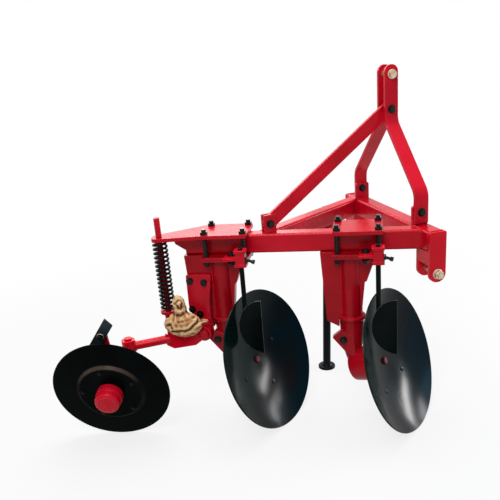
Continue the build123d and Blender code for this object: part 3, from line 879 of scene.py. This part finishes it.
def makeWheelTrim():
    bm = bmesh.new()
    reach, rise = trimSet["boltRing"]
    for k in range(trimSet["bolts"]):
        turn = math.radians(360 / trimSet["bolts"] * k + trimSet["boltFirst"])
        spot = onWheel(reach * math.cos(turn), reach * math.sin(turn), rise)
        addNut(bm, spot, wheelOut, *trimSet["boltSize"])
    finishPiece("wheelBolts", bm, "furrow_wheel", ironFinish)
    bm = bmesh.new()
    radius, low, top = trimSet["cap"]
    addRound(bm, onWheel(0, 0, low), wheelOut, radius, (top - low) / 1000, trimSet["capEdge"], 48)
    for reach, rise, thick in trimSet["rings"]:
        addRingBead(bm, onWheel(0, 0, rise), wheelOut, reach, thick, trimSet["ringRipple"])
    addRound(bm, onWheel(0, 0, top - 1), wheelOut, *trimSet["nipple"], 12)
    finishPiece("hubCap", bm, "furrow_wheel", redFinish)
    bm = bmesh.new()
    addRound(bm, onWheel(*trimSet["scraper"], trimSet["washerAt"]), wheelOut, *trimSet["washer"])
    finishPiece("wheelScraperWasher", bm, "frame", zincFinish)
    bm = bmesh.new()
    addNut(bm, onWheel(*trimSet["scraper"], trimSet["nutAt"]), wheelOut, *trimSet["nut"])
    finishPiece("wheelScraperNut", bm, "frame", boltFinish)


makeWheelTrim()
print("disc and wheel bolts made")


# weld beads where plates and tubes meet: places in the part's millimetres, sizes in metres
weldSet = {
    "big": 0.0055,
    "small": 0.004,
    "seam": (0.822, 0.889),
    "beamHalf": 38,
    "beamEnds": ((333.7, 38), (298.6, -38)),
    "beamTop": ((328.0, 27), (304.0, -27)),
    "brace": (-380, 562),
    "braceHalf": 0.035,
    "crossFace": 287.0,
    "cheek": 0.016,
    "lugInset": 0.003,
    "clevisInset": 0.010,
    "clevisSeam": (0.822, 0.888),
    "leg": (26, 25),
    "legRings": ((0.498, 0.0515), (0.482, 0.0555)),
    "fin": (-16, 505, 788),
    "finFaces": (53, 7),
    "head": ((-48, 10), (74, 128)),
    "headLow": 790,
    "bracket": (122, 116, 152, 822),
    "tail": (-735, 34, 840, 896),
    "pivot": (-671, 69, 436),
    "pivotRadius": 0.0365,
    "king": (-1040, 170, 390),
    "armEnds": ((-850, 102, 403), (-866, 102, 403)),
    "armRings": (0.033, -0.002),
    "armRadius": 0.0215,
}


def weldBeams(bm):
    big, small = weldSet["big"], weldSet["small"]

    def addSeam(corner):
        low, high = weldSet["seam"]
        addBead(bm, corner + up * low, corner + up * high, big)

    for s, off in weldSet["beamEnds"]:
        addSeam(onBeam(s, off, 0))
    addBead(bm, *(onBeam(s, off, partSet["beamTop"]) for s, off in weldSet["beamTop"]), small)
    rear, left = weldSet["brace"]
    crossX = weldSet["crossFace"]
    start, end = onBeam(rear, 0, 0), atPart(crossX, left, 0)
    run = (end - start).normalized()
    side = Vector((-run.y, run.x, 0))
    for half in (-weldSet["braceHalf"], weldSet["braceHalf"]):
        edge = end + side * half
        addSeam(edge + run * ((atPart(crossX, 0, 0).x - edge.x) / run.x))
        root = start + side * half
        gap = weldSet["beamHalf"] / 1000 - (root - onBeam(0, 0, 0)).dot(-rightOfBeam)
        addSeam(root + run * (gap / run.dot(-rightOfBeam)))


def weldHitch(bm):
    small = weldSet["small"]
    top = partSet["beamTop"] / 1000
    seamLow, seamTop = weldSet["clevisSeam"]
    lug, clevis = weldSet["lugInset"], weldSet["clevisInset"]
    for side in ("right", "left"):
        low, high = (Vector(p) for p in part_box("mast_lug_" + side))
        for y in (low.y, high.y):
            addBead(bm, Vector((low.x + lug, y, low.z)), Vector((high.x - lug, y, low.z)), small)
        low, high = (Vector(p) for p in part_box("hitch_clevis_" + side))
        seam = low.y + weldSet["cheek"] if side == "right" else high.y - weldSet["cheek"]
        addBead(bm, Vector((low.x + clevis, seam, top)), Vector((high.x - clevis, seam, top)), small)
        addBead(bm, Vector((low.x, seam, seamLow)), Vector((low.x, seam, seamTop)), small)


def weldUnits(bm):
    small = weldSet["small"]
    for unit in units:
        s, off = weldSet["leg"]
        for rise, radius in weldSet["legRings"]:
            addRingBead(bm, onBeam(s + unit, off, 0) + up * rise, up, radius, small)
        s, low, high = weldSet["fin"]
        for off in weldSet["finFaces"]:
            addBead(bm, onBeam(s + unit, off, low), onBeam(s + unit, off, high), small)
        off, z = weldSet["finFaces"][0], weldSet["headLow"]
        for start, end in weldSet["head"]:
            addBead(bm, onBeam(start + unit, off, z), onBeam(end + unit, off, z), small)
        s, near, far, z = weldSet["bracket"]
        addBead(bm, onBeam(s + unit, near, z), onBeam(s + unit, far, z), small)


def weldWheel(bm):
    small, radius = weldSet["small"], weldSet["armRadius"]
    s, off, low, high = weldSet["tail"]
    addBead(bm, onBeam(s, off, low), onBeam(s, off, high), small)
    addRingBead(bm, onBeam(*weldSet["pivot"]), rightOfBeam, weldSet["pivotRadius"], small)
    king = onBeam(*weldSet["king"])
    aim, root = (onBeam(*spot) for spot in weldSet["armEnds"])
    run = (aim - king).normalized()
    for place, reach in zip((king, root), weldSet["armRings"]):
        addRingBead(bm, place + run * reach, run, radius, small)


def makeWelds():
    bm = bmesh.new()
    for weld in (weldBeams, weldHitch, weldUnits, weldWheel):
        weld(bm)
    finishPiece("weldBeads", bm, "frame", redFinish, 60)


makeWelds()
print("welds made")


# the wrapping tied round the lever: a sack with pressed creases that relaxes as cloth
bundleSet = {
    "voxel": 0.004,
    "lumps": (
        ((-676, 130, 508), 0.022, (1.7, 0.8, 0.6, 1)),  # frayed tail
        ((-768, 132, 570), 0.034, (1, 1, 1, 1)),  # throat
    ),
    "creases": (
        (1.3, (-812, 464), (-784, 472), (-745, 479), (-711, 489), (-687, 514), (-670, 534)),
        (0.8, (-832, 500), (-812, 507), (-804, 490), (-812, 467), (-830, 474)),
        (0.3, (-768, 522), (-730, 531), (-698, 546)),
        (0.3, (-760, 449), (-711, 458)),
        (0.6, (-782, 604), (-768, 618), (-752, 620)),
        (0.9, (-746, 606), (-757, 584), (-771, 592)),
    ),
    "groove": 0.010,
    "width": 0.0075,
    "roll": (0.014, 0.009, 0.3),
    "wander": (40, 0.005),
    "ridge": (34, 2.2, 0.003),
    "steps": 18,
    "cap": 0.009,
    "back": 117.5,
    "fold": (14, 240),
}
clothSet = {
    "quality": 6,
    "mass": 0.2,
    "tension_stiffness": 14,
    "compression_stiffness": 14,
    "shear_stiffness": 4,
    "bending_stiffness": 0.2,
    "use_pressure": True,
    "uniform_pressure_force": 2.0,
    "shrink_min": -0.05,
}


def oneSkin():
    bm = bmesh.new()
    bm.from_mesh(nodes["pivot_wrap"].data)
    bmesh.ops.remove_doubles(bm, verts=bm.verts, dist=0.0002)
    for spot, radius, shape in bundleSet["lumps"]:
        place = Matrix.Translation(onBeam(*spot)) @ Matrix.Diagonal(shape)
        bmesh.ops.create_icosphere(bm, subdivisions=3, radius=radius, matrix=place)
    mesh = bpy.data.meshes.new("wrappingCloth")
    bm.to_mesh(mesh)
    bm.free()
    piece = bpy.data.objects.new("wrappingCloth", mesh)
    bpy.context.scene.collection.objects.link(piece)
    skin = piece.modifiers.new("oneSkin", "REMESH")
    skin.mode = "VOXEL"
    skin.voxel_size = bundleSet["voxel"]
    return piece


def bake(piece):
    graph = bpy.context.evaluated_depsgraph_get()
    mesh = bpy.data.meshes.new_from_object(piece.evaluated_get(graph))
    piece.modifiers.clear()
    piece.data = mesh


def nearest(spot, line):
    # distance to a crease, and how far above it the spot is
    best = (1.0, 0.0)
    for a, b in zip(line, line[1:]):
        run = b - a
        part = max(0.0, min(1.0, (spot - a).dot(run) / run.length_squared))
        gap = spot - (a + run * part)
        best = min(best, (gap.length, gap.y))
    return best


def smoothen(bm, factor):
    bmesh.ops.smooth_vert(bm, verts=bm.verts, factor=factor,
                          use_axis_x=True, use_axis_y=True, use_axis_z=True)


def pressCreases(piece):
    lines = [(row[0], [Vector(spot) / 1000 for spot in row[1:]]) for row in bundleSet["creases"]]
    origin = onBeam(0, 0, 0)
    grain, sway = bundleSet["wander"]
    rollAt, rollWidth, rollShare = bundleSet["roll"]
    ridgeGrain, ridgeSlope, ridgeHeight = bundleSet["ridge"]
    bm = bmesh.new()
    bm.from_mesh(piece.data)
    bm.normal_update()
    moves = []
    for v in bm.verts:
        arm = v.co - origin
        spot = Vector((arm.dot(alongBeam), v.co.z))
        drift = Vector((noise.noise(v.co * grain), noise.noise(v.co * grain + Vector((5, 0, 0)))))
        spot = spot + drift * sway
        push = 0.0
        for depth, line in lines:
            far, above = nearest(spot, line)
            bell = math.exp(-((far / bundleSet["width"]) ** 2))
            roll = math.exp(-(((far - rollAt) / rollWidth) ** 2)) if above > 0 else 0.0
            push += depth * bundleSet["groove"] * (rollShare * roll - bell)
        ridge = 1.0 - abs(noise.noise(v.co * ridgeGrain)) * ridgeSlope
        face = max(0.0, min(1.0, v.normal.dot(rightOfBeam) * 2.0))
        moves.append(v.normal * (push * face + ridgeHeight * (ridge - 0.6) - ridgeHeight))
    for v, move in zip(bm.verts, moves):
        v.co = v.co + move
    smoothen(bm, 0.3)
    bm.to_mesh(piece.data)
    bm.free()


def creaseCloth(piece):
    start = [v.co.copy() for v in piece.data.vertices]
    cloth = piece.modifiers.new("cloth", "CLOTH").settings
    for key, value in clothSet.items():
        setattr(cloth, key, value)
    cloth.effector_weights.gravity = 0
    scene = bpy.context.scene
    for step in range(1, bundleSet["steps"] + 1):
        scene.frame_set(step)
    bake(piece)
    scene.frame_set(1)
    # no vertex moves far, and none goes back into the lever
    for v, home in zip(piece.data.vertices, start):
        move = v.co - home
        if move.length > bundleSet["cap"]:
            move = move.normalized() * bundleSet["cap"]
        spot = home + move
        short = (onBeam(0, bundleSet["back"], 0) - spot).dot(rightOfBeam)
        v.co = spot + rightOfBeam * max(0.0, short)


def markCreases(mesh):
    # how far each vertex lies above or below its smoothed place, for the painted shade in the hollows and
    # painted light on the ridges
    rounds, steep = bundleSet["fold"]
    bm = bmesh.new()
    bm.from_mesh(mesh)
    bm.normal_update()
    spots = [(v.co.copy(), v.normal.copy()) for v in bm.verts]
    for k in range(rounds):
        smoothen(bm, 0.5)
    bm.verts.ensure_lookup_table()
    depth = [(spot - v.co).dot(normal) for (spot, normal), v in zip(spots, bm.verts)]
    bm.free()
    foldShade = mesh.attributes.new("foldShade", "FLOAT", "POINT")
    foldShade.data.foreach_set("value", [max(0.0, min(1.0, 0.5 + d * steep)) for d in depth])


def makeWrapping():
    piece = oneSkin()
    bake(piece)
    pressCreases(piece)
    creaseCloth(piece)
    mesh = piece.data
    markCreases(mesh)
    mesh.shade_smooth()
    mesh.materials.clear()
    mesh.materials.append(clothFinish)
    smooth = piece.modifiers.new("rounding", "SUBSURF")
    smooth.levels = 1
    smooth.render_levels = 1
    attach(piece, "frame")
    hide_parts("pivot_wrap")
    print("wrapping made:", len(mesh.polygons), "faces")


makeWrapping()


# pale floor that goes over into a white backdrop, soft light
stageSet = {
    "floor": 16.0,
    "floorColour": (0.55, 0.55, 0.55),
    "lift": (0.80, 1.0),
    "fade": (1.3, 3.4),
    "room": (0.26, 0.27, 0.28),
    "aim": (0.2, 0, 0.5),
    "lamps": (
        ("keyLight", (-1.8, -3.2, 4.8), (2.2, 2.2), 170, (1.0, 1.0, 1.0)),
        ("topLight", (0.2, 0.8, 4.8), (3.2, 3.2), 210, (1.0, 1.0, 1.0)),
        ("backPanel", (0.1, 4.0, 2.5), (3.2, 1.3), 45, (1.0, 0.97, 0.98)),
        ("lowStrip", (4.65, -0.05, 0.66), (1.3, 0.27), 72, (1.0, 0.97, 0.97)),
        ("highStrip", (4.6, -0.25, 1.45), (1.0, 0.30), 42, (1.0, 0.98, 1.0)),
        ("rearStrip", (4.6, 0.80, 1.25), (0.8, 0.26), 34, (1.0, 0.98, 0.99)),
        ("skyPatch", (4.2, -1.7, 1.9), (1.2, 1.0), 24, (0.30, 0.66, 1.0)),
    ),
}


def backdropRays(tree):
    # 1 for the rays that see the backdrop: camera, gloss and glass
    seen = tree.nodes.new("ShaderNodeLightPath")
    rays = seen.outputs["Is Camera Ray"]
    for other in ("Is Glossy Ray", "Is Transmission Ray"):
        rays = mathOf(tree, "MAXIMUM", rays, seen.outputs[other])
    return rays


def makeFloor():
    bm = bmesh.new()
    bmesh.ops.create_grid(bm, x_segments=1, y_segments=1, size=stageSet["floor"])
    mesh = bpy.data.meshes.new("floor")
    bm.to_mesh(mesh)
    bm.free()
    floor = bpy.data.objects.new("floor", mesh)
    bpy.context.scene.collection.objects.link(floor)
    mat, tree, shader, coords = startFinish("paleFloor")
    setShader(shader, Base_Color=(*stageSet["floorColour"], 1.0), Roughness=0.9, Specular_IOR_Level=0.0)
    glow = tree.nodes.new("ShaderNodeEmission")
    lift = tree.nodes.new("ShaderNodeMapRange")
    lift.interpolation_type = "SMOOTHSTEP"
    for key, value in zip(("From Min", "From Max", "To Min", "To Max"), stageSet["fade"] + stageSet["lift"]):
        lift.inputs[key].default_value = value
    tree.links.new(vectorOf(tree, "LENGTH", coords), lift.inputs["Value"])
    part = mathOf(tree, "MULTIPLY", backdropRays(tree), lift.outputs["Result"])
    mix = tree.nodes.new("ShaderNodeMixShader")
    tree.links.new(part, mix.inputs["Fac"])
    tree.links.new(shader.outputs["BSDF"], mix.inputs[1])
    tree.links.new(glow.outputs["Emission"], mix.inputs[2])
    out = next(n for n in tree.nodes if n.type == "OUTPUT_MATERIAL")
    tree.links.new(mix.outputs["Shader"], out.inputs["Surface"])
    mesh.materials.append(mat)


def makeLight():
    world = bpy.data.worlds.new("studio")
    bpy.context.scene.world = world
    world.use_nodes = True
    tree = world.node_tree
    back = tree.nodes["Background"]
    room = tree.nodes.new("ShaderNodeRGB")
    room.outputs["Color"].default_value = (*stageSet["room"], 1.0)
    white = mixOf(tree, backdropRays(tree), room.outputs["Color"], (1.0, 1.0, 1.0))
    tree.links.new(white, back.inputs["Color"])
    back.inputs["Strength"].default_value = 1.0
    for name, place, size, power, colour in stageSet["lamps"]:
        data = bpy.data.lights.new(name, "AREA")
        data.shape = "RECTANGLE"
        data.size, data.size_y = size
        data.energy = power
        data.color = colour
        lamp = bpy.data.objects.new(name, data)
        lamp.location = place
        aim = Vector(stageSet["aim"]) - Vector(place)
        lamp.rotation_euler = aim.to_track_quat("-Z", "Y").to_euler()
        lamp.visible_camera = False
        bpy.context.scene.collection.objects.link(lamp)


makeFloor()
makeLight()
bpy.context.scene.view_settings.view_transform = "Standard"
print("stage set")
